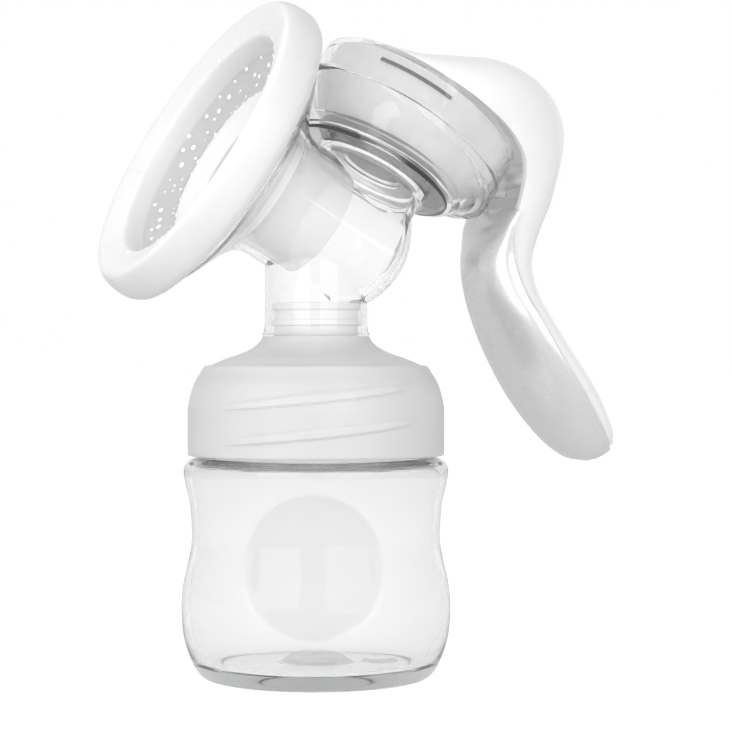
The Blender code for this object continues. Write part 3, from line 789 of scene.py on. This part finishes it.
def make_valve(material):
    """White one-way valve: a ribbed cup in the neck over a flat bill with a slit."""
    stations = [(92.6, 9.6), (93.3, 9.9), (93.4, 10.5), (93.2, 11.1), (91.9, 11.12), (91.5, 10.45), (89.3, 10.4),
                (88.9, 11.1), (88.0, 11.12), (87.6, 10.5), (86.0, 10.45), (82.2, 10.2), (79.6, 9.0)]
    steps = 96
    rows = [[(r * math.cos(2 * math.pi * k / steps), r * math.sin(2 * math.pi * k / steps), z) for k in range(steps)]
            for z, r in stations]
    for z, half_x, half_y in [tuple(v) for v in spline([(79.0, 8.7, 8.6), (76.0, 8.4, 7.4), (71.0, 8.2, 4.2),
                                                        (66.5, 8.0, 1.5)], 5)]:
        rows.append([(half_x * math.cos(2 * math.pi * k / steps), half_y * math.sin(2 * math.pi * k / steps), z)
                     for k in range(steps)])
    valve = thicken(skin("one_way_valve", rows), 0.9)
    finish_piece(valve, material, "pump", "white_silicone", "duckbill_valve", angle=30)


# ---------------------------------------------------------------- suction cup, diaphragm and stem

def leaning_ring(across, height, radius, lean, steps=144):
    """A ring of points in the cup's frame whose -X side dips by the lean."""
    ring = []
    for step in range(steps):
        angle = 2 * math.pi * step / steps
        reach = radius * math.cos(angle)
        ring.append((across + reach * math.cos(lean), radius * math.sin(angle), height + reach * math.sin(lean)))
    return ring


def make_cup(material, floor_painted_shade, rim_shadow_material):
    """Clear cup with a rim band, a flange and a sloping floor whose underside is darker as painted shade, a
    near-black strip of painted shadow inside the rim band, and the hinge's ears.
    """
    seat = CUP_FRAME.inverted() @ SEAT_FRAME
    centre = seat.translation / MM
    lean = CUP_TILT - SEAT_TILT
    stations = [(0.0, 26.9, 0.0), (0.0, 27.4, 0.0), (-0.3, 27.8, 0.0), (-0.8, 27.9, 0.0), (-8.3, 27.9, 0.0),
                (-8.6, 28.0, 0.0), (-9.1, 28.5, 0.0), (-9.5, 28.6, -0.1), (-12.4, 28.55, -0.9), (-12.9, 28.3, -0.9),
                (-13.2, 27.6, -0.75), (-13.6, 27.1, -0.6), (-16.0, 25.7, 0.3), (-18.4, 24.6, 0.7),
                (-19.3, 24.0, 0.8), (-19.6, 23.5, 0.85)]
    rings = [leaning_ring(centre.x * max(share, 0.0), height, radius, lean * share)
             for height, radius, share in stations]
    for drop, radius in ((0.9, 22.6), (0.4, 21.6), (0.0, 21.0), (0.0, 18.0), (0.0, 14.0), (0.0, CUP_PORT)):
        rings.append(leaning_ring(centre.x, centre.z + drop, radius, lean))
    cup = thicken(skin("suction_bowl", rings), CUP_WALL)
    # The floor's underside faces get a darker clear plastic: painted shade under the cup.
    floor = [face.index for face in cup.data.polygons
             if face.normal.z < -0.9 and face.center.z < -17.0 * MM
             and math.hypot(face.center.x - centre.x * MM, face.center.y) < FLOOR_RADIUS * MM]
    finish_piece(cup, material, "pump", "clear_plastic", "suction_cup", place=CUP_FRAME, angle=25)
    tint_faces(cup, floor_painted_shade, floor)

    # A thin near-black strip inside the rim band: painted shadow in the band's locking slot.
    rows = [[(SHADOW_STRIP_RADIUS * math.cos(math.radians(angle)), SHADOW_STRIP_RADIUS * math.sin(math.radians(angle)), height)
             for angle in SHADOW_STRIP_ARC] for height in (-3.1, -4.0)]
    rim_shadow_strip = thicken(skin("rim_painted_shadow_strip", rows, around=False), 0.3)
    finish_piece(rim_shadow_strip, rim_shadow_material, "pump", "clear_plastic", place=CUP_FRAME)

    arc = [(PIVOT_OFFSET + EAR_RADIUS * math.cos(a), PIVOT_DROP + EAR_RADIUS * math.sin(a))
           for a in [math.radians(-60 + 170 * k / 20) for k in range(21)]]
    ear = [(26.4, -9.8), (31.0, -7.6)] + arc + [(26.4, -0.8)]
    for name, low, high in (("hinge_ear_near", -EAR_OUTER, -EAR_INNER), ("hinge_ear_far", EAR_INNER, EAR_OUTER)):
        lug = bevel(slab(name, ear, low, high), 0.35)
        finish_piece(lug, material, "pump", "clear_plastic", place=CUP_FRAME)


def make_diaphragm(material, fold_painted_shade):
    """Milky bell in the cup: up the wall, folded at the foot and back to the stem. The underside of the folded foot
    is darker grey: painted shade.
    """
    profile = runs([(25.3, -0.8), (25.3, -8.6), (24.4, -10.8), (22.4, -13.6), (20.4, -15.9), (18.8, -17.4),
                    (17.0, -18.1), (14.6, -18.0), (9.6, -16.4), (5.4, -15.6), (2.6, -15.6)],
                   [(2.6, -15.6), (2.6, -13.6)],
                   [(2.6, -13.6), (5.8, -13.8), (10.2, -14.8), (14.8, -16.4), (16.8, -16.2), (18.6, -14.8),
                    (20.8, -12.4), (22.8, -9.8), (23.8, -8.0), (23.8, -0.8)], [(23.8, -0.8), (25.3, -0.8)], per=5)
    bell = lathe("diaphragm_bell", profile[:-1], 144)
    # The downward faces near the stem get a darker, less see-through silicone: painted shade under the bell.
    shaded_fold = [face.index for face in bell.data.polygons
            if face.normal.z < -0.6 and math.hypot(face.center.x, face.center.y) < FOLD_RADIUS * MM]
    finish_piece(bell, material, None, "clear_silicone", "diaphragm", place=CUP_FRAME, angle=50)
    tint_faces(bell, fold_painted_shade, shaded_fold)
    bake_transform(bell)


def make_stem(material):
    """White rod with a flared foot under the diaphragm and a cross pin at its head."""
    profile = runs([(0.0, 6.2), (1.5, 6.2)], [(1.5, 6.2), (2.05, 6.0), (2.2, 5.5)],
                   [(2.2, 5.5), (2.2, -4.0), (2.2, -13.6), (2.6, -15.2), (4.2, -16.2), (4.9, -16.9), (4.9, -18.2)],
                   [(4.9, -18.2), (4.6, -18.6), (0.0, -18.6)], per=5)
    rod = lathe("stem_rod", profile, 64, closed=False)
    finish_piece(rod, material, "stem", "white_plastic", "stem", place=CUP_FRAME)
    pin = lathe("stem_pin", runs([(0.0, 7.6), (1.2, 7.6)], [(1.2, 7.6), (1.5, 7.3)], [(1.5, 7.3), (1.5, -7.3)],
                                 [(1.5, -7.3), (1.2, -7.6)], [(1.2, -7.6), (0.0, -7.6)], per=2), 40, closed=False)
    turn = CUP_FRAME @ Matrix.Translation((0.0, 0.0, 4.0 * MM)) @ Matrix.Rotation(math.pi / 2, 4, "X")
    finish_piece(pin, material, "stem", "white_plastic", place=turn)


# ---------------------------------------------------------------- handle

def from_cup(across, along):
    """World (x, z) in mm of a point given in the cup's frame."""
    point = CUP_FRAME @ (Vector((across, 0.0, along)) * MM)
    return (point.x / MM, point.z / MM)


# Handle stations: edge of the shell (x, z), crown of the shell (x, z), half width. The cover starts a
# little below the hinge, so that it clears the cup at full squeeze.
HOOD_STATIONS = [
    (*from_cup(-21.0, 1.9), *from_cup(-21.4, 3.6), 7.0),
    (*from_cup(-17.5, 2.0), *from_cup(-16.8, 5.0), 12.5),
    (*from_cup(-10.0, 2.4), *from_cup(-9.6, 8.8), 17.4),
    (*from_cup(-1.0, 3.0), *from_cup(-0.6, 15.2), 20.6),
    (*from_cup(8.0, 3.0), *from_cup(8.4, 21.3), 21.6),
    (*from_cup(17.0, 2.6), *from_cup(18.6, 24.4), 20.6),
    (*from_cup(24.0, 1.0), *from_cup(29.0, 23.2), 18.6),
    (*from_cup(28.0, -1.6), *from_cup(36.6, 17.4), 16.6)]
LEVER_STATIONS = [
    (50.9, 121.0, 65.4, 121.0, 14.4), (49.8, 113.0, 62.2, 113.0, 12.2), (50.4, 105.0, 59.8, 105.0, 11.0),
    (52.6, 97.0, 60.8, 97.0, 12.2), (56.2, 89.4, 64.5, 89.4, 14.8), (61.0, 81.2, 70.1, 81.2, 16.0),
    (67.6, 72.6, 76.4, 73.0, 15.4), (74.0, 64.6, 81.4, 65.2, 12.6), (78.4, 59.4, 83.8, 60.2, 9.4),
    (80.6, 57.0, 84.4, 57.0, 6.4)]
COVER_START = (51.2, 117.0, 50.4, 117.2, 13.0)
COVER_CROWNS = [(47.5, 112.2), (44.6, 105.0), (45.8, 97.0), (49.2, 89.4), (53.2, 81.0), (58.6, 70.6),
                (66.0, 60.8), (72.6, 55.4), (77.6, 54.4)]


def handle_row(station, count=40):
    """One rounded section of the handle from its +Y edge over the crown to its -Y edge."""
    edge_x, edge_z, crown_x, crown_z, half_width = station
    row = []
    for step in range(count + 1):
        angle = math.pi * step / count
        rise = math.sin(angle)
        row.append((edge_x + (crown_x - edge_x) * rise, half_width * math.cos(angle),
                    edge_z + (crown_z - edge_z) * rise))
    return row


def make_handle(white, pale):
    """White outer shell with its hood, the pale inner cover, the stem hooks and the hinge pin."""
    rows = [handle_row(station)[::-1] for station in spline(HOOD_STATIONS + LEVER_STATIONS, 8)]
    shell = bevel(thicken(skin("handle_back", rows, around=False), SHELL_WALL), 0.35)
    finish_piece(shell, white, "handle", "white_plastic", "handle_shell", angle=50)
    shell.visible_shadow = False

    covers = [COVER_START]
    for station, crown in zip(LEVER_STATIONS[1:], COVER_CROWNS):
        edge = Vector(station[:2])
        edge += (Vector(crown) - edge).normalized() * COVER_INSET
        covers.append((*edge, *crown, station[4] - 0.25))
    cover = skin("handle_front", [handle_row(station) for station in spline(covers, 8)], around=False)
    cover = bevel(thicken(cover, COVER_WALL), 0.3)
    finish_piece(cover, pale, "handle", "pale_plastic", "handle_cover", angle=50)

    outline = [(-5.6, 0.6), (3.2, 0.6), (3.2, 15.8), (-1.2, 13.2), (-5.6, 10.4)]
    slot = []
    for x, z, first in ((0.4, 4.1, -75), (-3.0, 3.2, 105)):
        turns = [math.radians(first + 180 * k / 12) for k in range(13)]
        slot += [(x + HOOK_SLOT * math.cos(a), z + HOOK_SLOT * math.sin(a)) for a in turns]
    for name, low, high in (("stem_hook_near", -HOOK_OUTER, -HOOK_INNER), ("stem_hook_far", HOOK_INNER, HOOK_OUTER)):
        hook = slab(name, outline, low, high)
        combine(hook, "DIFFERENCE", slab("hook_slot", slot, low - 2, high + 2))
        finish_piece(hook, white, "handle", "white_plastic", place=CUP_FRAME)

    bar = runs([(0.0, 12.6), (1.7, 12.6)], [(1.7, 12.6), (2.0, 12.3)], [(2.0, 12.3), (2.0, -12.3)],
               [(2.0, -12.3), (1.7, -12.6)], [(1.7, -12.6), (0.0, -12.6)], per=2)
    pin = lathe("hinge_pin", bar, 48, closed=False)
    finish_piece(pin, white, "handle", "white_plastic", "pivot_pin",
                 place=Matrix.Translation(PIVOT) @ Matrix.Rotation(math.pi / 2, 4, "X"))


bpy.context.scene.view_settings.view_transform = "Standard"
make_camera()
make_world()
make_floor()
make_lights()
white = glossy_plastic("white_plastic", (0.93, 0.93, 0.93), 0.20, 0.0)
make_bottle(bottle_plastic())
make_skirt(frosted_plastic())
make_lip_seal(silicone("seal_silicone", (0.80, 0.80, 0.81), 0.45))
make_pump_body(clear_plastic("body_polypropylene", 0.975, 18.0, 0.92, 1.12, 0.5))
make_cushion(lining_silicone_with_painted_shade(), film_silicone("thin_silicone_and_painted_shade", (0.66, 0.66, 0.66), 0.62, 0.03, 0.4),
             principled("dot_silicone", (0.97, 0.97, 0.97), 0.30))
make_valve(silicone("valve_silicone", (0.80, 0.80, 0.80), 0.40))
make_cup(clear_plastic("cup_polypropylene", 0.975, 16.0, 0.97, 1.27, 0.5),
         clear_plastic("floor_polypropylene_painted_shade", 0.74, 16.0, 0.97, 1.27, 0.5),
         principled("rim_painted_shadow", (0.10, 0.10, 0.10), 0.5))
make_diaphragm(film_silicone("bell_silicone", (0.90, 0.90, 0.90), 0.18, 0.12, 0.35),
               film_silicone("fold_silicone_painted_shade", (0.50, 0.50, 0.51), 0.15, 0.05, 0.4))
make_stem(white)
make_handle(white, glossy_plastic("pale_plastic", (0.76, 0.76, 0.765), 0.27, 0.5))
